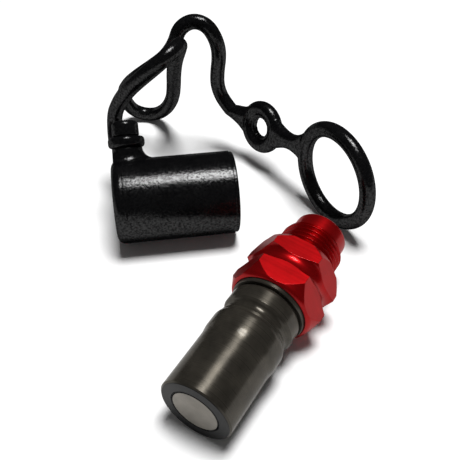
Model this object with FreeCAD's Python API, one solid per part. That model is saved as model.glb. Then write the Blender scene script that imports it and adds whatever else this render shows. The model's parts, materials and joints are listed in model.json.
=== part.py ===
import FreeCAD, Part
import math
import os

# Flat-face quick coupling plug with a screwed-in hexagon adapter. Its moulded rubber
# lanyard and dust cap lie beside it, with the cap taken off. Millimetres, floor at z = 0.

# Plug body: radii and lengths in order along its axis, from the flat nose face
noseR = 10.25
noseEdge = 0.5
noseLength = 17.8
bulgeRise = 3.8
bulgeR = 10.6
bulgeWidth = 3.0
bulgeFall = 1.8
bulgeEdge = 0.15
bulgeEdgeAt = 1.0
shoulderR = 9.95
shoulderWidth = 0.8
grooveR = 9.15
grooveWidth = 2.8
collarR = 10.4
collarWidth = 5.5
collarChamfer = 0.6
collarRoundLength = 1.2
collarRoundDrop = 0.3
collarRoundBack = 0.35
rimR = 10.9
rimGap = 0.3
rimWidth = 1.5
rimEdge = 0.2
neckR = 9.6
neckLength = 11.5
neckChamfer = 0.5

# Bores of the plug body, and what runs and seals in them
boreR = 6.5
boreLength = 5.6
seatSlope = 0.9
chamberR = 7.6
guideSeatR = 8.2
guideSeatDepth = 16.4
sealGroove = 2.2
sealGrooveWidth = 2.4
sealGrooveR = 7.7
backupThick = 0.7
valveClearance = 0.05
flangeGap = 0.35
flangeThick = 1.8
pilotHeight = 1.2
pilotGap = 0.3
stemR = 3.0
stemChamfer = 0.5
stemSpare = 1.9
guideThick = 3.0
guideHubR = 4.4
guideRimR = 6.7
guideArms = 4
guideArmWidth = 1.8
guideArmGrip = 0.5
ringThick = 1.2
ringGrooveR = 8.8
ringWidth = 1.7
ringMouthAngle = 40.0
springWireR = 0.6
springWallGap = 0.5
springCoils = 6.0
fitGap = 0.05
sealPlay = 0.01
sealSeatGap = 0.02
sealRun = 0.03
backupPlay = 0.03

# Hexagon adapter: lengths are from its front face, which stands off the collar. A rounded
# front edge runs into the bevel, and a hollow waist runs round the hexagon between its corners
hexFlats = 24.0
hexTurn = 8.0
adapterGap = 1.4
adapterFaceR = 11.25
recessPlay = 0.15
recessDepth = 1.3
frontEdgeR = 12.43
frontEdgeLength = 1.3
frontEdgeBulge = 0.15
frontSlope = 0.51
waistAt = 9.45
waistWidth = 5.4
waistR = 11.5
rearBevelAt = 14.1
rearFaceR = 12.31
hexLength = 17.25
undercutR = 8.5
undercutWidth = 0.65
threadR = 9.525
threadChamfer = 0.6
threadTipChamfer = 0.7
threadLength = 9.2
spigotR = 8.14
spigotLength = 5.7
spigotRound = 1.0
flowR = 5.5
flowStep = 2.5
flowChamfer = 1.0
adapterSealAt = 2.6
adapterGrooveWidth = 2.8
adapterGrooveR = 11.0
blankMargin = 0.2

# Dust cap with its lug and stud
capR = 13.45
capLength = 38.9
capBoreR = 10.75
capFloor = 3.4
capRound = 2.6
capInnerRound = 1.0
capRim = 1.2
capRimStep = 0.35
capRimChamfer = 0.3
capMouthChamfer = 0.8
seamAt = 3.7
seamHalf = 0.35
seamHeight = 0.12
ribAt = 11.0
ribHeight = 0.5
ribHalf = 1.0
lugR = 4.9
lugFillet = 3.5
lugSink = 0.03
lugFlat = 0.2
lugRoot = 0.6
lugAt = 5.6
lugTop = 16.9
lugLean = 52.0
studR = 3.0
headR = 4.3
headThick = 4.9
headRound = 1.5
headChamfer = 0.3

# Lanyard: the eye on the stud, the cord, the eyelet and the big ring
cordR = 2.6
eyeR = 5.85
eyeThick = 3.6
eyeRound = 1.2
eyeClearance = 0.1
eyeNeck = 8.0
eyeTurn = 15.0
ringR = 15.8
ringCordR = 2.586
eyeletR = 6.9
eyeletRimR = 2.6
eyeletHoleR = 3.45
eyeletWebThick = 2.2
ringNeckAngle = 5.0
nearlyRound = 1.001
cordLead = 5.8

# Moulded necks, as (share of the neck's length, half width, half thickness)
eyeNeckShape = ((0.0, 3.4, 1.6), (0.5, 3.0, 2.1))
ringNeckShape = (
    (0.0, 5.6, 2.58), (0.28, 3.9, 2.5), (0.55, 3.05, 2.5), (0.8, 4.2, 2.5), (1.0, 6.6, 2.5))
cordNeckShape = ((0.0, 5.4, 2.58), (0.4, 3.7, 2.5), (0.75, 2.85, 2.55))

# Places in the part's own frame
plugNose = (-11.49, -61.55)
plugHeading = 31.155
capEnd = (-39.96, 14.46)
capHeading = 81.465
ringPlace = (31.02, 22.17)
ringHeading = 57.76
eyeletCentre = (8.64, 54.85, 16.1)
eyeletNormal = (0.752, 0.631, -0.190)
cordEnd = (-2.56, 64.25, 17.7)

# The cord's route after its first straight run out of the eye: up over the cap, back down
# to the floor, and up again to the eyelet
cordRoute = (
    (-42.5, 42.4, 21.3), (-42.5, 45.5, 26.8), (-40.2, 43.2, 32.8), (-36.3, 39.9, 39.4),
    (-31.4, 37.8, 44.9), (-27.1, 36.5, 49.1), (-23.1, 36.6, 52.7), (-19.6, 40.3, 54.2),
    (-18.8, 45.4, 53.0), (-19.8, 49.7, 48.7), (-21.4, 54.1, 42.8), (-22.5, 58.4, 35.9),
    (-23.2, 63.6, 28.1), (-24.5, 70.8, 18.9), (-27.7, 77.8, 10.1), (-32.5, 84.4, 3.4),
    (-37.8, 85.9, 2.4), (-42.4, 85.3, 4.8), (-44.5, 82.0, 11.1), (-43.7, 76.2, 18.4),
    (-40.6, 71.7, 24.6), (-35.9, 68.2, 29.9), (-30.2, 65.8, 34.9), (-25.3, 64.3, 39.3),
    (-22.0, 63.9, 44.4), (-20.4, 64.9, 49.3), (-15.8, 65.4, 52.0), (-10.8, 64.1, 51.0),
    (-7.8, 62.9, 46.5), (-6.6, 63.0, 40.8), (-7.6, 66.1, 31.4), (-7.5, 66.9, 25.8),
    (-5.5, 66.2, 20.7))

# Stations along the plug that follow from its lengths
bulgeStart = noseLength + bulgeRise
bulgeEnd = bulgeStart + bulgeWidth
shoulderStart = bulgeEnd + bulgeFall
grooveStart = shoulderStart + shoulderWidth
collarStart = grooveStart + grooveWidth
collarEnd = collarStart + collarWidth
rimStart = collarEnd + rimGap
rimEnd = rimStart + rimWidth
bodyLength = collarEnd + neckLength
seatEnd = boreLength + (chamberR - boreR) * seatSlope
guideSeat = bodyLength - guideSeatDepth
guideEnd = guideSeat + guideThick
ringLow = guideEnd + fitGap
ringHigh = ringLow + ringThick + fitGap
discR = boreR - valveClearance
flangeR = chamberR - flangeGap
coneStart = boreLength + fitGap
coneEnd = coneStart + (flangeR - discR) * seatSlope
flangeBack = coneEnd + flangeThick
springR = chamberR - springWireR - springWallGap
stemEnd = guideEnd + stemSpare
adapterStart = collarEnd + adapterGap
vertexR = hexFlats / math.sqrt(3)
frontEdgeEnd = adapterStart + frontEdgeLength
cornerStart = frontEdgeEnd + (vertexR - frontEdgeR) / frontSlope
waistMiddle = adapterStart + waistAt
rearBevel = adapterStart + rearBevelAt
hexEnd = adapterStart + hexLength
threadStart = hexEnd + undercutWidth
threadEnd = threadStart + threadLength
spigotEnd = threadEnd + spigotLength
adapterGroove = adapterStart + adapterSealAt
roundShare = 1 - math.sqrt(0.5)

up = FreeCAD.Vector(0, 0, 1)
origin = FreeCAD.Vector(0, 0, 0)


def heading(degrees):
    """Level direction, measured from +Y towards +X."""
    turn = math.radians(degrees)
    return FreeCAD.Vector(math.sin(turn), math.cos(turn), 0)


def placed(shape, place, xAxis, yAxis, zAxis):
    """Put a shape made about its own Z axis where it lies in the part."""
    frame = FreeCAD.Placement(FreeCAD.Matrix(
        xAxis.x, yAxis.x, zAxis.x, place.x,
        xAxis.y, yAxis.y, zAxis.y, place.y,
        xAxis.z, yAxis.z, zAxis.z, place.z,
        0, 0, 0, 1))
    moved = shape.copy()
    moved.Placement = frame.multiply(shape.Placement)
    return moved


def save(shape, name):
    solid = shape.removeSplitter() if len(shape.Solids) == 1 else shape
    solid.exportStep("parts/" + name + ".step")
    print(name, "solids", len(solid.Solids), "valid", solid.isValid(), "volume", round(solid.Volume, 1))
    return solid


def turned(edges):
    """Revolve a closed outline of the r, z plane about Z."""
    face = Part.Face(Part.Wire(Part.__sortEdges__(edges)))
    return face.revolve(origin, up, 360)


def flat(point):
    """A point of the r, z plane."""
    return FreeCAD.Vector(point[0], 0, point[1])


def line(a, b):
    return Part.LineSegment(flat(a), flat(b)).toShape()


def arc(a, middle, b):
    return Part.Arc(flat(a), flat(middle), flat(b)).toShape()


def smooth(a, b):
    """S-shaped step between two radii, tangent to the axis at both ends."""
    middle = (a[1] + b[1]) / 2
    curve = Part.BezierCurve()
    curve.setPoles([flat(a), flat((a[0], middle)), flat((b[0], middle)), flat(b)])
    return curve.toShape()


def rounded(a, corner, b):
    """Quarter round between two points of a square corner, with a given corner point."""
    inward = (a[0] + b[0] - corner[0], a[1] + b[1] - corner[1])
    middle = [c + (i - c) * roundShare for c, i in zip(corner, inward)]
    return arc(a, middle, b)


def chain(points):
    """Straight edges along an open list of (r, z) points."""
    return [line(a, b) for a, b in zip(points, points[1:])]


def disc(radius, low, high):
    return Part.makeCylinder(radius, high - low, FreeCAD.Vector(0, 0, low), up)


# Plug body: nose, bulge, ball groove, collar, thin rim and neck outside; seal groove, valve
# seat, chamber, guide seat and retaining groove inside
def makeBody():
    bulgeMiddle = (bulgeR - bulgeEdge, bulgeEnd + bulgeEdgeAt)
    grooveMiddle = (grooveR, grooveStart + grooveWidth / 2)
    collarRound = (collarR - collarRoundDrop, collarEnd - collarRoundBack)
    outer = chain([(boreR, 0), (noseR - noseEdge, 0), (noseR, noseEdge), (noseR, noseLength)])
    outer.append(smooth((noseR, noseLength), (bulgeR, bulgeStart)))
    outer.append(line((bulgeR, bulgeStart), (bulgeR, bulgeEnd)))
    outer.append(arc((bulgeR, bulgeEnd), bulgeMiddle, (shoulderR, shoulderStart)))
    outer.append(line((shoulderR, shoulderStart), (shoulderR, grooveStart)))
    outer.append(arc((shoulderR, grooveStart), grooveMiddle, (shoulderR, collarStart)))
    outer += chain([
        (shoulderR, collarStart), (collarR, collarStart + collarChamfer),
        (collarR, collarEnd - collarRoundLength)])
    outer.append(arc((collarR, collarEnd - collarRoundLength), collarRound, (neckR, collarEnd)))
    outer += chain([
        (neckR, collarEnd), (neckR, rimStart), (rimR - rimEdge, rimStart), (rimR, rimStart + rimEdge),
        (rimR, rimEnd), (neckR, rimEnd), (neckR, bodyLength - neckChamfer),
        (neckR - neckChamfer, bodyLength),
        (guideSeatR, bodyLength), (guideSeatR, ringHigh), (ringGrooveR, ringHigh),
        (ringGrooveR, ringLow), (guideSeatR, ringLow), (guideSeatR, guideSeat),
        (chamberR, guideSeat), (chamberR, seatEnd), (boreR, boreLength),
        (boreR, sealGroove + sealGrooveWidth), (sealGrooveR, sealGroove + sealGrooveWidth),
        (sealGrooveR, sealGroove), (boreR, sealGroove), (boreR, 0)])
    return turned(outer)


# Valve: face disc, seat cone, flange, spring pilot and stem in one turned piece
def makeValve():
    pilotR = springR - springWireR - pilotGap
    pilotEnd = flangeBack + pilotHeight
    return turned(chain([
        (0, 0), (discR, 0), (discR, coneStart), (flangeR, coneEnd), (flangeR, flangeBack),
        (pilotR, flangeBack), (pilotR, pilotEnd), (stemR, pilotEnd), (stemR, stemEnd - stemChamfer),
        (stemR - stemChamfer, stemEnd), (0, stemEnd), (0, 0)]))


# Round seal and its flat backup ring, side by side in a groove between two radii
def makeSeal(innerR, outerR, low, width):
    section = (outerR - innerR) / 2
    centre = low + backupThick + (width - backupThick) / 2
    return Part.makeTorus(innerR + section, section - sealPlay, FreeCAD.Vector(0, 0, centre), up)


def makeBackup(innerR, outerR, low):
    start = low + sealSeatGap
    end = start + backupThick - fitGap
    return disc(outerR - fitGap, start, end).cut(disc(innerR + backupPlay, start, end))


# Open coil spring between the valve flange and the guide
def makeSpring():
    low = flangeBack + springWireR + fitGap
    high = guideSeat - springWireR - fitGap
    pitch = (high - low) / springCoils
    helix = Part.makeHelix(pitch, high - low, springR)
    along = FreeCAD.Vector(0, springR, pitch / (2 * math.pi))
    section = Part.Wire(Part.makeCircle(springWireR, FreeCAD.Vector(springR, 0, 0), along))
    coil = Part.Wire(helix.Edges).makePipeShell([section], True, True)
    coil.translate(FreeCAD.Vector(0, 0, low))
    return coil


# Guide: hub, rim and arms that leave the flow open
def makeGuide():
    rim = disc(guideSeatR - fitGap, guideSeat, guideEnd).cut(disc(guideRimR, guideSeat, guideEnd))
    hub = disc(guideHubR, guideSeat, guideEnd)
    arms = []
    for index in range(guideArms):
        arm = Part.makeBox(guideRimR + guideArmGrip, guideArmWidth, guideThick,
                           FreeCAD.Vector(0, -guideArmWidth / 2, guideSeat))
        arm.rotate(origin, up, index * 360 / guideArms)
        arms.append(arm)
    guide = rim.fuse([hub] + arms)
    return guide.cut(disc(stemR + valveClearance, guideSeat, guideEnd))


# Split retaining ring that holds the guide
def makeRetainer():
    outerR = ringGrooveR - fitGap
    innerR = outerR - ringWidth
    ring = disc(outerR, ringLow, ringLow + ringThick).cut(disc(innerR, ringLow, ringLow + ringThick))
    reach = 2 * ringGrooveR
    spread = reach * math.tan(math.radians(ringMouthAngle / 2))
    mouth = Part.Face(Part.makePolygon([
        FreeCAD.Vector(0, 0, ringLow), FreeCAD.Vector(reach, spread, ringLow),
        FreeCAD.Vector(reach, -spread, ringLow), FreeCAD.Vector(0, 0, ringLow)]))
    return ring.cut(mouth.extrude(FreeCAD.Vector(0, 0, ringThick)))


# Hexagon adapter: a turned blank, with bevels, waist, thread and spigot, cut to six flats
def makeAdapter():
    blankR = vertexR + blankMargin
    blankStart = frontEdgeEnd + (blankR - frontEdgeR) / frontSlope
    recessR = rimR + recessPlay
    boreInR = neckR + fitGap
    grooveEnd = adapterGroove + adapterGrooveWidth
    waistLow = waistMiddle - waistWidth / 2
    waistHigh = waistMiddle + waistWidth / 2
    edgeMiddle = ((adapterFaceR + frontEdgeR) / 2 + frontEdgeBulge,
                  adapterStart + frontEdgeLength / 2 - frontEdgeBulge)
    blank = chain([(recessR, adapterStart), (adapterFaceR, adapterStart)])
    blank.append(arc((adapterFaceR, adapterStart), edgeMiddle, (frontEdgeR, frontEdgeEnd)))
    blank += chain([(frontEdgeR, frontEdgeEnd), (blankR, blankStart), (blankR, waistLow)])
    blank.append(arc((blankR, waistLow), (waistR, waistMiddle), (blankR, waistHigh)))
    blank += chain([
        (blankR, waistHigh), (blankR, rearBevel), (rearFaceR, hexEnd),
        (undercutR, hexEnd), (undercutR, threadStart), (threadR - threadChamfer, threadStart),
        (threadR, threadStart + threadChamfer), (threadR, threadEnd - threadTipChamfer),
        (threadR - threadTipChamfer, threadEnd), (spigotR, threadEnd), (spigotR, spigotEnd - spigotRound)])
    blank.append(rounded((spigotR, spigotEnd - spigotRound), (spigotR, spigotEnd),
                         (spigotR - spigotRound, spigotEnd)))
    blank += chain([
        (spigotR - spigotRound, spigotEnd), (flowR + flowChamfer, spigotEnd),
        (flowR, spigotEnd - flowChamfer), (flowR, bodyLength + flowStep), (guideSeatR, bodyLength),
        (boreInR, bodyLength), (boreInR, grooveEnd), (adapterGrooveR, grooveEnd),
        (adapterGrooveR, adapterGroove), (boreInR, adapterGroove), (boreInR, adapterStart + recessDepth),
        (recessR, adapterStart + recessDepth), (recessR, adapterStart)])
    corners = []
    for index in range(7):
        turn = math.radians(60 * (index % 6) + hexTurn)
        corners.append(FreeCAD.Vector(vertexR * math.cos(turn), vertexR * math.sin(turn), adapterStart))
    prism = Part.Face(Part.makePolygon(corners)).extrude(up * (spigotEnd - adapterStart))
    return turned(blank).common(prism)


# Dust cap: moulded cup with a snap rib, a seam line, and a lug that ends in a stud
def makeCap():
    rimR = capR - capRimStep
    ribHigh = capLength - ribAt + ribHalf
    ribLow = capLength - ribAt - ribHalf
    cup = [line((0, 0), (capR - capRound, 0))]
    cup.append(rounded((capR - capRound, 0), (capR, 0), (capR, capRound)))
    cup += chain([
        (capR, capRound), (capR, seamAt - seamHalf), (capR + seamHeight, seamAt), (capR, seamAt + seamHalf),
        (capR, capLength - capRim), (rimR, capLength - capRim), (rimR, capLength - capRimChamfer),
        (rimR - capRimChamfer, capLength), (capBoreR + capMouthChamfer, capLength),
        (capBoreR, capLength - capMouthChamfer), (capBoreR, ribHigh)])
    cup.append(arc((capBoreR, ribHigh), (capBoreR - ribHeight, capLength - ribAt), (capBoreR, ribLow)))
    cup.append(line((capBoreR, ribLow), (capBoreR, capFloor + capInnerRound)))
    cup.append(rounded((capBoreR, capFloor + capInnerRound), (capBoreR, capFloor),
                       (capBoreR - capInnerRound, capFloor)))
    cup += chain([(capBoreR - capInnerRound, capFloor), (0, capFloor), (0, 0)])
    shell = turned(cup)
    neck = Part.makeCylinder(studR, eyeThick + 2 * eyeClearance, FreeCAD.Vector(lugTop, 0, lugAt),
                             FreeCAD.Vector(1, 0, 0))
    return shell.fuse([makeLug(), neck, makeHead()])


def makeLug():
    """Round pillar with a broad fillet into the cap's wall, made along X."""
    barrel = disc(capR - lugSink, lugAt - 4 * lugR, lugAt + 4 * lugR)
    barrel.rotate(origin, up, 180)
    pillar = Part.makeCylinder(lugR, lugTop, FreeCAD.Vector(0, 0, lugAt), FreeCAD.Vector(1, 0, 0))
    lug = barrel.fuse(pillar)
    seam = [edge for edge in lug.Edges
            if edge.BoundBox.XMin > capR * 0.7 and edge.BoundBox.XMax < capR + lugSink]
    lug = lug.makeFillet(lugFillet, seam)
    window = Part.makeBox(lugTop, 4 * lugR, 4 * lugR,
                          FreeCAD.Vector(capBoreR + lugRoot, -2 * lugR, lugAt - lugR + lugFlat))
    return lug.common(window)


def makeHead():
    """Domed stud head over the eye, made about Z and turned to the lug's direction."""
    low = lugTop + eyeThick + 2 * eyeClearance
    high = low + headThick
    profile = chain([
        (0, low), (headR - headChamfer, low), (headR, low + headChamfer), (headR, high - headRound)])
    profile.append(rounded((headR, high - headRound), (headR, high), (headR - headRound, high)))
    profile += chain([(headR - headRound, high), (0, high), (0, low)])
    head = turned(profile)
    head.rotate(origin, FreeCAD.Vector(0, 1, 0), 90)
    head.translate(FreeCAD.Vector(0, 0, lugAt))
    return head


# Ring that turns on the cap's stud, with rounded outer edges, made about the lug's direction
def makeEyeDisc():
    low = lugTop + eyeClearance
    high = low + eyeThick
    bore = studR + eyeClearance
    profile = chain([(bore, low), (eyeR - eyeRound, low)])
    profile.append(rounded((eyeR - eyeRound, low), (eyeR, low), (eyeR, low + eyeRound)))
    profile.append(line((eyeR, low + eyeRound), (eyeR, high - eyeRound)))
    profile.append(rounded((eyeR, high - eyeRound), (eyeR, high), (eyeR - eyeRound, high)))
    profile += chain([(eyeR - eyeRound, high), (bore, high), (bore, low)])
    return turned(profile)


# Eyelet: a thick rim round a thinner web with a hole through it
def makeEyelet():
    rim = Part.makeTorus(eyeletR, eyeletRimR)
    web = disc(eyeletR, -eyeletWebThick / 2, eyeletWebThick / 2)
    return rim.fuse(web).cut(disc(eyeletHoleR, -eyeletRimR, eyeletRimR))


def link(sections):
    """Loft through elliptic (centre, direction, half width, half thickness, thickness axis) sections."""
    wires = []
    for centre, along, wide, thick, thickAxis in sections:
        side = along.cross(thickAxis).normalize()
        across = side.cross(along).normalize()
        curve = Part.Ellipse(centre + side * wide, centre + across * thick, centre)
        wires.append(Part.Wire(curve.toShape()))
    return Part.makeLoft(wires, True, False)


def cordPath(points):
    """Straight runs joined by tangent arcs, each as large as its two runs allow."""
    edges = []
    radii = []
    start = points[0]
    for before, corner, after in zip(points, points[1:], points[2:]):
        inward = (corner - before).normalize()
        outward = (after - corner).normalize()
        half = inward.getAngle(outward) / 2
        cut = 0.45 * min((corner - before).Length, (after - corner).Length)
        radius = cut / math.tan(half)
        first = corner - inward * cut
        last = corner + outward * cut
        toCentre = (outward - inward).normalize()
        middle = corner + toCentre * (radius / math.cos(half) - radius)
        edges.append(Part.LineSegment(start, first).toShape())
        edges.append(Part.Arc(first, middle, last).toShape())
        radii.append(round(radius, 1))
        start = last
    edges.append(Part.LineSegment(start, points[-1]).toShape())
    print("cord radii", radii)
    return Part.Wire(edges)


def makeCord(points):
    path = cordPath(points)
    along = (points[1] - points[0]).normalize()
    section = Part.Wire(Part.makeCircle(cordR, points[0], along))
    tube = path.makePipeShell([section], True, False)
    expected = math.pi * cordR ** 2 * path.Length
    print("cord length", round(path.Length, 1), "volume", round(tube.Volume), "expected", round(expected))
    return tube


os.makedirs("parts", exist_ok=True)
resting = []

# The plug rests on its nose edge and on the hexagon's lowest corner, which tilts it a little
cornerDrop = vertexR * math.cos(math.radians(30 - hexTurn))
plugTilt = math.atan((cornerDrop - noseR) / (cornerStart - noseEdge))
plugAxis = heading(plugHeading) * math.cos(plugTilt) + up * math.sin(plugTilt)
plugRight = plugAxis.cross(up).normalize()
plugDown = plugAxis.cross(plugRight).normalize()
noseHeight = noseR * math.cos(plugTilt) - noseEdge * math.sin(plugTilt)
noseCentre = FreeCAD.Vector(plugNose[0], plugNose[1], noseHeight)

plugPieces = [
    ("plug_body", makeBody()),
    ("valve", makeValve()),
    ("nose_seal", makeSeal(discR + sealRun, sealGrooveR, sealGroove, sealGrooveWidth)),
    ("nose_backup_ring", makeBackup(boreR, sealGrooveR, sealGroove)),
    ("valve_spring", makeSpring()),
    ("valve_guide", makeGuide()),
    ("guide_retainer", makeRetainer()),
    ("adapter", makeAdapter()),
    ("adapter_seal", makeSeal(neckR, adapterGrooveR, adapterGroove, adapterGrooveWidth)),
    ("adapter_backup_ring", makeBackup(neckR, adapterGrooveR, adapterGroove)),
]
for name, shape in plugPieces:
    resting.append(save(placed(shape, noseCentre, plugRight, plugDown, plugAxis), name))

# The cap lies on its side, and its lug leans back from the floor
capAxis = heading(capHeading)
capCentre = FreeCAD.Vector(capEnd[0], capEnd[1], capR + seamHeight)
lean = math.radians(lugLean)
lugAxis = up.cross(capAxis) * math.cos(lean) + up * math.sin(lean)
capSide = capAxis.cross(lugAxis)
resting.append(save(placed(makeCap(), capCentre, lugAxis, capSide, capAxis), "dust_cap"))

# The eye on the stud, with a short neck that leaves behind the cap
stud = capCentre + capAxis * lugAt
eyeCentre = stud + lugAxis * (lugTop + eyeClearance + eyeThick / 2)
eyeAngle = math.radians(eyeTurn)
eyeOut = (capSide * -math.cos(eyeAngle) - capAxis * math.sin(eyeAngle)).normalize()
eyeDisc = placed(makeEyeDisc(), stud, capAxis, lugAxis.cross(capAxis), lugAxis)
eyeNeckStart = eyeCentre + eyeOut * (eyeR + studR) / 2
cordStart = eyeCentre + eyeOut * eyeNeck
eyeNeckSpan = cordStart - eyeNeckStart
eyeNeckSections = [(eyeNeckStart + eyeNeckSpan * share, eyeOut, wide, thick, lugAxis)
                   for share, wide, thick in eyeNeckShape]
eyeNeckSections.append((cordStart, eyeOut, cordR * nearlyRound, cordR, lugAxis))
resting.append(save(eyeDisc.fuse(link(eyeNeckSections)), "lanyard_eye"))

# The big ring stands on the floor; one neck joins it to the eyelet, another takes the cord
ringNormal = heading(ringHeading)
ringAcross = up.cross(ringNormal)
ringCentre = FreeCAD.Vector(ringPlace[0], ringPlace[1], ringR + ringCordR)
ring = placed(Part.makeTorus(ringR, ringCordR), ringCentre, ringAcross, up, ringNormal)
eyeletAt = FreeCAD.Vector(*eyeletCentre)
eyeletAxis = FreeCAD.Vector(*eyeletNormal).normalize()
eyeletSide = up.cross(eyeletAxis).normalize()
eyelet = placed(makeEyelet(), eyeletAt, eyeletSide, eyeletAxis.cross(eyeletSide), eyeletAxis)

joinAngle = math.radians(ringNeckAngle)
ringJoin = ringCentre + (ringAcross * math.cos(joinAngle) + up * math.sin(joinAngle)) * ringR
ringNeckAlong = (ringJoin - eyeletAt).normalize()
ringNeckStart = eyeletAt + ringNeckAlong * eyeletR
ringNeckSpan = ringJoin - ringNeckStart
ringNeckSections = []
for share, wide, thick in ringNeckShape:
    flatAxis = eyeletAxis if share < 0.5 else ringNormal
    ringNeckSections.append((ringNeckStart + ringNeckSpan * share, ringNeckAlong, wide, thick, flatAxis))

cordFinish = FreeCAD.Vector(*cordEnd)
cordIn = (FreeCAD.Vector(*cordRoute[-1]) - cordFinish).normalize()
cordNeckAlong = (cordFinish - eyeletAt).normalize()
cordNeckStart = eyeletAt + cordNeckAlong * eyeletR
cordNeckSpan = cordFinish - cordNeckStart
cordNeckSections = [(cordNeckStart + cordNeckSpan * share, cordNeckAlong, wide, thick, eyeletAxis)
                    for share, wide, thick in cordNeckShape]
cordNeckSections.append((cordFinish, cordIn, cordR * nearlyRound, cordR, eyeletAxis))
resting.append(save(ring.fuse([eyelet, link(ringNeckSections), link(cordNeckSections)]), "lanyard_ring"))

cordPoints = [cordStart, cordStart + eyeOut * cordLead] + [FreeCAD.Vector(*point) for point in cordRoute]
save(makeCord(cordPoints + [cordFinish]), "lanyard_cord")

points = [point for solid in resting for point in solid.tessellate(0.02)[0]]
for axis in "xyz":
    values = [getattr(point, axis) for point in points]
    print("without the cord,", axis, "from", round(min(values), 3), "to", round(max(values), 3))
print("cord start", cordStart, "first corner", cordPoints[1], "exit direction", eyeOut)
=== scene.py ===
import json
import math

import bpy
from mathutils import Matrix, Vector


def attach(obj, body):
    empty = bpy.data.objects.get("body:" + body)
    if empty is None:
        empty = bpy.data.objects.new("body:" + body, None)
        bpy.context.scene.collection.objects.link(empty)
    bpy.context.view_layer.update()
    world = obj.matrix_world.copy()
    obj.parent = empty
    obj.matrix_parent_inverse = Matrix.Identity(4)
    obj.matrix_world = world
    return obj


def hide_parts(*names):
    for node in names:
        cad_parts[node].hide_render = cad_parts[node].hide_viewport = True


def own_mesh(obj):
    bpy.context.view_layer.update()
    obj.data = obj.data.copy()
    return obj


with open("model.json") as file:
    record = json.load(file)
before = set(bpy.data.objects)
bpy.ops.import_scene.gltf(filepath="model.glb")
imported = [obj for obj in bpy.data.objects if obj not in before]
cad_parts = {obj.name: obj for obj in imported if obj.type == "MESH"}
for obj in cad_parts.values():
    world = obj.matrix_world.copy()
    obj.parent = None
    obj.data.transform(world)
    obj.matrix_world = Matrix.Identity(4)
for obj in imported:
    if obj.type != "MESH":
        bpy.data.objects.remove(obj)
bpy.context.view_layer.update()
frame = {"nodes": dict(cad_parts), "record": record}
print("frame loaded:", sorted(frame["nodes"]))

mm = 0.001
plugBodyName = "plug"
mounts = {mount["name"]: mount for mount in frame["record"]["mounts"]}
port, nose = mounts["port_thread"], mounts["nose"]
threadMiddle = Vector(port["pos_m"])
plugAxis = Vector(port["axis"]).normalized()  # out of the thread's open end, away from the nose
noseAxis = Vector(nose["axis"]).normalized()
noseEdgeMm = 0.5  # the nose's mount ends where its edge is broken, this far behind the face
noseFront = Vector(nose["pos_m"]) + noseAxis * (nose["dims"]["length_mm"] / 2 + noseEdgeMm) * mm


# Colours are written as on a screen, and the shader wants them linear
def linear(hexColour):
    parts = [int(hexColour[i:i + 2], 16) / 255 for i in (1, 3, 5)]
    return [p / 12.92 if p <= 0.04045 else ((p + 0.055) / 1.055) ** 2.4 for p in parts] + [1.0]


def addNode(owner, kind, settings=None, inputs=None):
    node = owner.node_tree.nodes.new(kind)
    for name, value in (settings or {}).items():
        setattr(node, name, value)
    for name, value in (inputs or {}).items():
        if isinstance(value, bpy.types.NodeSocket):
            owner.node_tree.links.new(value, node.inputs[name])
        else:
            node.inputs[name].default_value = value
    return node


def newMaterial(name):
    material = bpy.data.materials.new(name)
    material.use_nodes = True
    material.node_tree.nodes.clear()
    return material


def setStops(ramp, places, colours):
    band = ramp.color_ramp
    while len(band.elements) > 1:
        band.elements.remove(band.elements[-1])
    band.elements[0].position, band.elements[0].color = places[0], linear(colours[0])
    for place, colour in zip(places[1:], colours[1:]):
        band.elements.new(place).color = linear(colour)


def paint(piece, material):
    piece.data.materials.clear()
    piece.data.materials.append(material)


def pickOnly(piece):
    bpy.ops.object.select_all(action="DESELECT")
    piece.select_set(True)
    bpy.context.view_layer.objects.active = piece


def applyModifier(piece, name):
    pickOnly(piece)
    bpy.ops.object.modifier_apply(modifier=name)


# A copy of a CAD node with its loose triangles merged, to model on
def mergedCopy(nodeName, pieceName):
    piece = frame["nodes"][nodeName].copy()
    piece.data = piece.data.copy()
    piece.name = pieceName
    piece.parent = None
    piece.matrix_world = Matrix.Identity(4)
    bpy.context.collection.objects.link(piece)
    pickOnly(piece)
    bpy.ops.mesh.customdata_custom_splitnormals_clear()
    bpy.ops.object.mode_set(mode="EDIT")
    bpy.ops.mesh.select_all(action="SELECT")
    bpy.ops.mesh.remove_doubles(threshold=0.001 * mm)
    bpy.ops.mesh.normals_make_consistent(inside=False)
    bpy.ops.object.mode_set(mode="OBJECT")
    return piece


# Puts a piece that was modelled upright at a place on the plug's axis, and its object
# back at the origin
def layAlong(piece, place, axis):
    upright = axis.to_track_quat("Z", "Y").to_matrix().to_4x4()
    piece.matrix_world = Matrix.Translation(place) @ upright
    pickOnly(piece)
    bpy.ops.object.transform_apply(location=True, rotation=True, scale=True)


edgeSamples = 6  # rays of each rounded-edge node: more would only cost time

# Compression-moulded nitrile rubber: black and skin-smooth, with a mottle from the mould that
# breaks its highlights into grains, a slow waviness, and edges that are all a little round.
# The real mottle is about 0.2 mm and is drawn coarser, so that it shows.
rubber = {
    "dark": "#060607", "pale": "#0c0c0d", "rough": 0.18, "roughSpread": 0.05,
    "glossLeast": 0.01, "glossMost": 0.042, "edgeMm": 0.45,
    "mottleMm": 0.7, "mottleDepthMm": 0.07, "mottleBump": 0.8,
    "mottleSpan": (0.35, 0.65), "glossSpan": (0.38, 0.62),
    "flowMm": 6.0, "flowDepthMm": 0.16, "flowBump": 0.6, "flowSpan": (0.35, 0.7),
}


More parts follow.
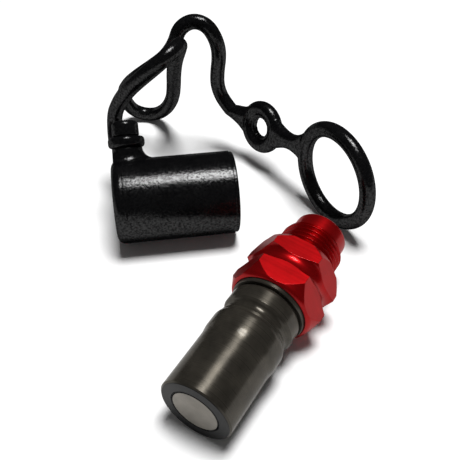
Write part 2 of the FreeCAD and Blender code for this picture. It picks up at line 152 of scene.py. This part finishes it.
def makeRubber():
    m = newMaterial("moulded nitrile rubber")
    where = addNode(m, "ShaderNodeTexCoord")
    flow = addNode(m, "ShaderNodeTexNoise", inputs={
        "Vector": where.outputs["Object"], "Scale": 1000 / rubber["flowMm"], "Detail": 2.0})
    mottle = addNode(m, "ShaderNodeTexNoise", inputs={
        "Vector": where.outputs["Object"], "Scale": 1000 / rubber["mottleMm"],
        "Detail": 3.0, "Roughness": 0.6})
    colour = addNode(m, "ShaderNodeValToRGB", inputs={"Fac": flow.outputs["Fac"]})
    setStops(colour, rubber["flowSpan"], (rubber["dark"], rubber["pale"]))
    rough = addNode(m, "ShaderNodeMapRange", inputs={
        "Value": mottle.outputs["Fac"],
        "From Min": rubber["mottleSpan"][0], "From Max": rubber["mottleSpan"][1],
        "To Min": rubber["rough"] - rubber["roughSpread"],
        "To Max": rubber["rough"] + rubber["roughSpread"]})
    edge = addNode(m, "ShaderNodeBevel", {"samples": edgeSamples}, {
        "Radius": rubber["edgeMm"] * mm})
    broad = addNode(m, "ShaderNodeBump", inputs={
        "Height": flow.outputs["Fac"], "Strength": rubber["flowBump"],
        "Distance": rubber["flowDepthMm"] * mm, "Normal": edge.outputs["Normal"]})
    fine = addNode(m, "ShaderNodeBump", inputs={
        "Height": mottle.outputs["Fac"], "Strength": rubber["mottleBump"],
        "Distance": rubber["mottleDepthMm"] * mm, "Normal": broad.outputs["Normal"]})
    # the bloom on old rubber kills the mirror look that a clean skin has at a low angle,
    # so the body has no gloss of its own, and the skin's is the same at every angle
    body = addNode(m, "ShaderNodeBsdfPrincipled", inputs={
        "Base Color": colour.outputs["Color"], "Roughness": rough.outputs["Result"],
        "Normal": fine.outputs["Normal"], "Specular IOR Level": 0.0})
    skin = addNode(m, "ShaderNodeBsdfGlossy", inputs={
        "Roughness": rough.outputs["Result"], "Normal": fine.outputs["Normal"]})
    gloss = addNode(m, "ShaderNodeMapRange", inputs={
        "Value": mottle.outputs["Fac"],
        "From Min": rubber["glossSpan"][0], "From Max": rubber["glossSpan"][1],
        "To Min": rubber["glossLeast"], "To Max": rubber["glossMost"]})
    shader = addNode(m, "ShaderNodeMixShader", inputs={
        0: gloss.outputs["Result"], 1: body.outputs[0], 2: skin.outputs[0]})
    addNode(m, "ShaderNodeOutputMaterial", inputs={"Surface": shader.outputs[0]})
    return m


# Pattern coordinates whose Z runs along the plug, from the middle of its thread
def plugCoordinates(m):
    upright = plugAxis.to_track_quat("Z", "Y").inverted().to_euler("XYZ")
    where = addNode(m, "ShaderNodeTexCoord")
    centred = addNode(m, "ShaderNodeVectorMath", {"operation": "SUBTRACT"}, {
        0: where.outputs["Object"], 1: threadMiddle})
    turned = addNode(m, "ShaderNodeVectorRotate", {"rotation_type": "EULER_XYZ"}, {
        "Vector": centred.outputs["Vector"], "Rotation": upright})
    return turned.outputs["Vector"]


# Turning marks run round the axis, so a highlight is drawn out along it, and from the middle
# outwards on a flat face: both point away from a far place on the axis
tangentReach = 0.1


def ringTangent(m):
    where = addNode(m, "ShaderNodeTexCoord")
    away = addNode(m, "ShaderNodeVectorMath", {"operation": "SUBTRACT"}, {
        0: where.outputs["Object"], 1: threadMiddle + plugAxis * tangentReach})
    return away.outputs["Vector"]


# 1 on the flat face at the nose, where painted shade goes, 0 elsewhere
def noseFaceShadeMask(m, along):
    plane = (noseFront - threadMiddle).dot(plugAxis)
    split = addNode(m, "ShaderNodeSeparateXYZ", inputs={"Vector": along})
    near = addNode(m, "ShaderNodeMath", {"operation": "COMPARE"}, {
        0: split.outputs["Z"], 1: plane, 2: 0.1 * mm})
    return near.outputs[0]


# Turning marks are about 0.05 mm apart and are drawn coarser, so that they show
turning = {"aroundMm": 25.0, "depthMm": 0.01, "span": (0.3, 0.7)}


# Turned stock: rings round the plug's axis, a cloudy colour, broken edges, a clear coat
def makeTurned(name, look):
    m = newMaterial(name)
    along = plugCoordinates(m)
    low, high = turning["span"]
    around = 1000 / turning["aroundMm"]
    stretched = addNode(m, "ShaderNodeMapping", inputs={
        "Vector": along, "Scale": (around, around, 1000 / look["ringMm"])})
    rings = addNode(m, "ShaderNodeTexNoise", inputs={
        "Vector": stretched.outputs["Vector"], "Scale": 1.0, "Detail": 3.0})
    cloud = addNode(m, "ShaderNodeTexNoise", inputs={
        "Vector": along, "Scale": 1000 / look["cloudMm"], "Detail": 4.0, "Roughness": 0.6})
    colour = addNode(m, "ShaderNodeValToRGB", inputs={"Fac": cloud.outputs["Fac"]})
    setStops(colour, turning["span"], (look["dark"], look["pale"]))
    rough = addNode(m, "ShaderNodeMapRange", inputs={
        "Value": rings.outputs["Fac"], "From Min": low, "From Max": high,
        "To Min": look["rough"] - look["roughSpread"],
        "To Max": look["rough"] + look["roughSpread"]})
    skin = colour.outputs["Color"]
    # painted shade: the flat face at the nose takes the nearly black face colour
    if "face" in look:
        skin = addNode(m, "ShaderNodeMix", {"data_type": "RGBA"}, {
            0: noseFaceShadeMask(m, along), 6: skin, 7: linear(look["face"])}).outputs[2]
    edge = addNode(m, "ShaderNodeBevel", {"samples": edgeSamples}, {
        "Radius": look["edgeMm"] * mm})
    bump = addNode(m, "ShaderNodeBump", inputs={
        "Height": rings.outputs["Fac"], "Strength": look["ringBump"],
        "Distance": turning["depthMm"] * mm, "Normal": edge.outputs["Normal"]})
    shader = addNode(m, "ShaderNodeBsdfPrincipled", inputs={
        "Base Color": skin, "Metallic": look["metallic"], "Roughness": rough.outputs["Result"],
        "Normal": bump.outputs["Normal"], "Specular Tint": linear(look["edgeTint"]),
        "Anisotropic": look["rings"], "Tangent": ringTangent(m),
        "Coat Weight": look["coat"], "Coat Roughness": look["coatRough"],
        "Coat Normal": edge.outputs["Normal"]})
    addNode(m, "ShaderNodeOutputMaterial", inputs={"Surface": shader.outputs[0]})
    return m


# Hard-anodised aluminium: a warm dark grey oxide over fine turning, half gloss. Its flat face
# at the nose is painted shade, coloured nearly black
plugFinish = {
    "dark": "#33302b", "pale": "#45413a", "face": "#17181a", "edgeTint": "#a6a39c",
    "metallic": 0.58, "rough": 0.3, "roughSpread": 0.05, "rings": 0.72,
    "ringMm": 0.3, "ringBump": 0.3, "cloudMm": 5.0, "edgeMm": 0.12,
    "coat": 0.1, "coatRough": 0.12,
}
# Dyed anodised aluminium: a clear red oxide with a glassy skin, that stays red at a low angle
adapterFinish = {
    "dark": "#86080b", "pale": "#9a0a0e", "edgeTint": "#c84040",
    "metallic": 0.74, "rough": 0.36, "roughSpread": 0.05, "rings": 0.4,
    "ringMm": 0.3, "ringBump": 0.25, "cloudMm": 6.0, "edgeMm": 0.14,
    "coat": 0.16, "coatRough": 0.12,
}
# Ground stainless steel: satin, a little warm
valveFinish = {
    "dark": "#76726b", "pale": "#858078", "edgeTint": "#ffffff",
    "metallic": 1.0, "rough": 0.46, "roughSpread": 0.05, "rings": 0.4,
    "ringMm": 0.2, "ringBump": 0.4, "cloudMm": 3.0, "edgeMm": 0.08,
    "coat": 0.0, "coatRough": 0.0,
}
# Drawn spring steel: bright and even, its drawing marks too fine to show
springFinish = {
    "dark": "#7d7d7f", "pale": "#8e8e90", "edgeTint": "#ffffff",
    "metallic": 1.0, "rough": 0.32, "roughSpread": 0.06, "rings": 0.0,
    "ringMm": 0.15, "ringBump": 0.2, "cloudMm": 2.0, "edgeMm": 0.05,
    "coat": 0.0, "coatRough": 0.0,
}
# Skived fluoropolymer: a waxy off-white strip
backupRingFinish = {
    "dark": "#d3d0c6", "pale": "#e0ddd3", "edgeTint": "#ffffff",
    "metallic": 0.0, "rough": 0.45, "roughSpread": 0.05, "rings": 0.0,
    "ringMm": 0.2, "ringBump": 0.2, "cloudMm": 2.0, "edgeMm": 0.05,
    "coat": 0.0, "coatRough": 0.0,
}

blackRubber = makeRubber()
darkAnodised = makeTurned("hard anodised aluminium", plugFinish)
redAnodised = makeTurned("red anodised aluminium", adapterFinish)
groundSteel = makeTurned("ground stainless steel", valveFinish)
springSteel = makeTurned("drawn spring steel", springFinish)
fluoropolymer = makeTurned("skived fluoropolymer", backupRingFinish)
for material, names in (
        (darkAnodised, ("plug_body",)),
        (redAnodised, ("adapter",)),
        (groundSteel, ("valve", "valve_guide")),
        (springSteel, ("valve_spring", "guide_retainer")),
        (blackRubber, ("nose_seal", "adapter_seal", "dust_cap", "lanyard_eye", "lanyard_ring")),
        (fluoropolymer, ("nose_backup_ring", "adapter_backup_ring"))):
    for name in names:
        paint(frame["nodes"][name], material)
print("materials made")

# The lanyard's cord, along the same route as its solid, in metres
cord = {
    "diameter": 0.0052, "length": 0.2405, "alongSteps": 12, "aroundSteps": 8,
    "route": [
        (-0.03909, 0.03245, 0.02363), (-0.04123, 0.03659, 0.02018), (-0.0425, 0.0424, 0.0213),
        (-0.0425, 0.0455, 0.0268), (-0.0402, 0.0432, 0.0328), (-0.0363, 0.0399, 0.0394),
        (-0.0314, 0.0378, 0.0449), (-0.0271, 0.0365, 0.0491), (-0.0231, 0.0366, 0.0527),
        (-0.0196, 0.0403, 0.0542), (-0.0188, 0.0454, 0.0530), (-0.0198, 0.0497, 0.0487),
        (-0.0214, 0.0541, 0.0428), (-0.0225, 0.0584, 0.0359), (-0.0232, 0.0636, 0.0281),
        (-0.0245, 0.0708, 0.0189), (-0.0277, 0.0778, 0.0101), (-0.0325, 0.0844, 0.0034),
        (-0.0378, 0.0859, 0.0024), (-0.0424, 0.0853, 0.0048), (-0.0445, 0.0820, 0.0111),
        (-0.0437, 0.0762, 0.0184), (-0.0406, 0.0717, 0.0246), (-0.0359, 0.0682, 0.0299),
        (-0.0302, 0.0658, 0.0349), (-0.0253, 0.0643, 0.0393), (-0.0220, 0.0639, 0.0444),
        (-0.0204, 0.0649, 0.0493), (-0.0158, 0.0654, 0.0520), (-0.0108, 0.0641, 0.0510),
        (-0.0078, 0.0629, 0.0465), (-0.0066, 0.0630, 0.0408), (-0.0076, 0.0661, 0.0314),
        (-0.0075, 0.0669, 0.0258), (-0.0055, 0.0662, 0.0207), (-0.00256, 0.06425, 0.0177)],
}


def makeCord():
    curve = bpy.data.curves.new("lanyardCord", "CURVE")
    curve.dimensions = "3D"
    spline = curve.splines.new("NURBS")
    spline.points.add(len(cord["route"]) - 1)
    for point, place in zip(spline.points, cord["route"]):
        point.co = (*place, 1.0)
    spline.order_u = 3  # set after the points, or it stays at straight runs
    spline.use_endpoint_u = True
    spline.resolution_u = cord["alongSteps"]
    curve.bevel_depth = cord["diameter"] / 2
    curve.bevel_resolution = cord["aroundSteps"]
    curve.use_fill_caps = True
    piece = bpy.data.objects.new("lanyardCord", curve)
    bpy.context.collection.objects.link(piece)
    paint(piece, blackRubber)
    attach(piece, plugBodyName)
    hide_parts("lanyard_cord")


makeCord()
print("cord made")

# The adapter's male thread: its solid has a plain core, and a copy of it is cut by one
# helical groove of 60 degrees, 16 turns to the inch. The groove runs past the core, by
# hexSideMm towards the hexagon and by openSideMm round the spigot.
thread = {
    "pitchMm": 25.4 / 16, "angle": 60.0, "rootMm": 8.45, "rootFlatMm": 0.2, "cutMm": 9.62,
    "hexSideMm": 0.35, "openSideMm": 1.3, "stepsPerTurn": 72, "smoothAngle": 20,
}


def makeGrooveCutter(lengthMm):
    depth = thread["cutMm"] - thread["rootMm"]
    middle = (thread["cutMm"] + thread["rootMm"]) / 2 * mm
    bpy.ops.object.select_all(action="DESELECT")
    bpy.ops.mesh.primitive_plane_add(size=depth * mm, rotation=(math.pi / 2, 0, 0),
                                     location=(middle, 0, 0))
    cutter = bpy.context.active_object
    cutter.name = "threadGroove"
    bpy.ops.object.transform_apply(location=True, rotation=True, scale=True)
    # the inner edge becomes the root's flat, the outer one as wide as the flanks make it
    mouth = thread["rootFlatMm"] + 2 * depth * math.tan(math.radians(thread["angle"] / 2))
    bpy.ops.object.mode_set(mode="EDIT")
    bpy.ops.mesh.select_mode(type="VERT")
    for outer, width in ((False, thread["rootFlatMm"]), (True, mouth)):
        bpy.ops.mesh.select_all(action="DESELECT")
        bpy.ops.object.mode_set(mode="OBJECT")
        for vertex in cutter.data.vertices:
            vertex.select = (vertex.co.x > middle) == outer
        bpy.ops.object.mode_set(mode="EDIT")
        bpy.ops.transform.resize(value=(1, 1, width / depth), center_override=(0, 0, 0))
    bpy.ops.mesh.select_all(action="SELECT")
    bpy.ops.mesh.delete(type="ONLY_FACE")
    bpy.ops.object.mode_set(mode="OBJECT")
    turns = lengthMm / thread["pitchMm"]
    screw = cutter.modifiers.new("helix", "SCREW")
    screw.axis = "Z"
    screw.angle = turns * 2 * math.pi
    screw.screw_offset = lengthMm * mm
    screw.steps = round(turns * thread["stepsPerTurn"])
    screw.render_steps = screw.steps
    applyModifier(cutter, "helix")
    bpy.ops.object.mode_set(mode="EDIT")
    bpy.ops.mesh.select_all(action="SELECT")
    bpy.ops.mesh.fill_holes(sides=4)
    bpy.ops.mesh.select_all(action="SELECT")
    bpy.ops.mesh.normals_make_consistent(inside=False)
    bpy.ops.object.mode_set(mode="OBJECT")
    return cutter


def makeThread():
    coreMm = port["dims"]["length_mm"]
    lengthMm = coreMm + thread["hexSideMm"] + thread["openSideMm"]
    cutter = makeGrooveCutter(lengthMm)
    start = threadMiddle - plugAxis * (coreMm / 2 + thread["hexSideMm"]) * mm
    layAlong(cutter, start, plugAxis)
    piece = mergedCopy("adapter", "threadedAdapter")
    cut = piece.modifiers.new("groove", "BOOLEAN")
    cut.operation = "DIFFERENCE"
    cut.solver = "EXACT"
    cut.object = cutter
    applyModifier(piece, "groove")
    bpy.data.objects.remove(cutter)
    bpy.ops.object.shade_smooth_by_angle(angle=math.radians(thread["smoothAngle"]))
    paint(piece, redAnodised)
    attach(piece, plugBodyName)
    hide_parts("adapter")
    turns = round(lengthMm / thread["pitchMm"], 1)
    print("thread cut:", turns, "turns,", len(piece.data.polygons), "faces")


makeThread()

# Painted shade: a thin black ring round the bore at the nose, flush with its face, for the
# shade in the gap round the valve
gapShade = {"innerMm": 6.52, "outerMm": 7.0, "heightMm": 0.12, "aroundSteps": 96, "acrossSteps": 12}


def makeGapShade():
    middle = (gapShade["innerMm"] + gapShade["outerMm"]) / 2
    half = (gapShade["outerMm"] - gapShade["innerMm"]) / 2
    bpy.ops.object.select_all(action="DESELECT")
    bpy.ops.mesh.primitive_torus_add(
        major_radius=middle * mm, minor_radius=half * mm,
        major_segments=gapShade["aroundSteps"], minor_segments=gapShade["acrossSteps"])
    piece = bpy.context.active_object
    piece.name = "boreGapShade"
    flatten = gapShade["heightMm"] / half / 2
    bpy.ops.object.mode_set(mode="EDIT")
    bpy.ops.mesh.select_all(action="SELECT")
    bpy.ops.transform.resize(value=(1, 1, flatten), center_override=(0, 0, 0))
    bpy.ops.object.mode_set(mode="OBJECT")
    layAlong(piece, noseFront, noseAxis)
    bpy.ops.object.shade_smooth()
    # the ring is black only as painted shade for the gap round the valve
    paint(piece, blackRubber)
    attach(piece, plugBodyName)
    print("lip made")


makeGapShade()

# The valve's spring, which shortens as the valve is pushed in on the real plug: here a copy of
# its solid, shaded smooth, that rides with the plug and stays on the guide that it stands on
coil = {"travel": 0.007, "smoothAngle": 40}


def makeSpring():
    piece = mergedCopy("valve_spring", "valveCoil")
    bpy.ops.object.shade_smooth_by_angle(angle=math.radians(coil["smoothAngle"]))
    paint(piece, springSteel)
    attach(piece, plugBodyName)
    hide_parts("valve_spring")
    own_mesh(piece)


makeSpring()

# The lanyard's moulded ends: the CAD solids with every corner rounded as a mould leaves them,
# except within keepMm of where they meet the cord
moulding = {"voxelMm": 0.3, "rounds": 8, "factor": 0.5, "keepMm": 3.2}


def makeMoulding(nodeName, pieceName, cordEnd):
    piece = mergedCopy(nodeName, pieceName)
    remesh = piece.modifiers.new("skin", "REMESH")
    remesh.mode = "VOXEL"
    remesh.voxel_size = moulding["voxelMm"] * mm
    applyModifier(piece, "skin")
    reach = moulding["keepMm"] * mm
    free = [v.index for v in piece.data.vertices if (v.co - Vector(cordEnd)).length > reach]
    rounded = piece.vertex_groups.new(name="rounded")
    rounded.add(free, 1.0, "REPLACE")
    smooth = piece.modifiers.new("round", "SMOOTH")
    smooth.factor = moulding["factor"]
    smooth.iterations = moulding["rounds"]
    smooth.vertex_group = "rounded"
    applyModifier(piece, "round")
    bpy.ops.object.shade_smooth()
    paint(piece, blackRubber)
    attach(piece, plugBodyName)
    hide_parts(nodeName)
    print("moulding made:", nodeName, len(piece.data.polygons), "faces")


makeMoulding("lanyard_eye", "mouldedEye", cord["route"][0])
makeMoulding("lanyard_ring", "mouldedRing", cord["route"][-1])

# Camera at the photograph's place and lens
camera = {
    "place": (-0.00296, -0.157818, 0.152685), "pitch": 48.809,
    "lens": 54.0, "sensor": 36.0, "nearest": 0.01,
}


def makeCamera():
    data = bpy.data.cameras.new("camera")
    data.lens = camera["lens"]
    data.sensor_width = camera["sensor"]
    data.clip_start = camera["nearest"]
    piece = bpy.data.objects.new("camera", data)
    piece.location = camera["place"]
    piece.rotation_euler = (math.radians(camera["pitch"]), 0, 0)
    bpy.context.collection.objects.link(piece)
    bpy.context.scene.camera = piece


# White table top: what lies on it keeps its soft shadow
table = {"size": 3.0, "colour": "#f8f8f8", "glowColour": "#ffffff", "glow": 0.01}


def makeTable():
    bpy.ops.object.select_all(action="DESELECT")
    bpy.ops.mesh.primitive_plane_add(size=table["size"], location=(0, 0, 0))
    piece = bpy.context.active_object
    piece.name = "table"
    m = newMaterial("white laminate")
    rays = addNode(m, "ShaderNodeLightPath")
    matt = addNode(m, "ShaderNodeBsdfDiffuse", inputs={"Color": linear(table["colour"])})
    seen = addNode(m, "ShaderNodeMath", {"operation": "MAXIMUM"}, {
        0: rays.outputs["Is Camera Ray"], 1: rays.outputs["Is Glossy Ray"]})
    through = addNode(m, "ShaderNodeMath", {"operation": "MAXIMUM"}, {
        0: seen.outputs[0], 1: rays.outputs["Is Transmission Ray"]})
    level = addNode(m, "ShaderNodeMath", {"operation": "MULTIPLY"}, {
        0: through.outputs[0], 1: table["glow"]})
    glow = addNode(m, "ShaderNodeEmission", inputs={
        "Color": linear(table["glowColour"]), "Strength": level.outputs[0]})
    both = addNode(m, "ShaderNodeAddShader", inputs={0: matt.outputs[0], 1: glow.outputs[0]})
    addNode(m, "ShaderNodeOutputMaterial", inputs={"Surface": both.outputs[0]})
    paint(piece, m)


# One soft box almost straight overhead, in an even, dim room
lights = {
    "boxSize": 0.42, "boxPlace": (0.13, 0.04, 1.2), "boxPower": 17.5,
    "roomColour": "#ffffff", "room": 0.065,
}


def makeLights():
    data = bpy.data.lights.new("softBox", "AREA")
    data.shape = "SQUARE"
    data.size = lights["boxSize"]
    data.energy = lights["boxPower"]
    piece = bpy.data.objects.new("softBox", data)
    piece.location = lights["boxPlace"]
    bpy.context.collection.objects.link(piece)
    room = bpy.data.worlds.new("room")
    bpy.context.scene.world = room
    room.use_nodes = True
    room.node_tree.nodes.clear()
    sky = addNode(room, "ShaderNodeBackground", inputs={
        "Color": linear(lights["roomColour"]), "Strength": lights["room"]})
    addNode(room, "ShaderNodeOutputWorld", inputs={"Surface": sky.outputs[0]})


makeCamera()
makeTable()
makeLights()
bpy.context.scene.view_settings.view_transform = "Standard"
print("stage made")
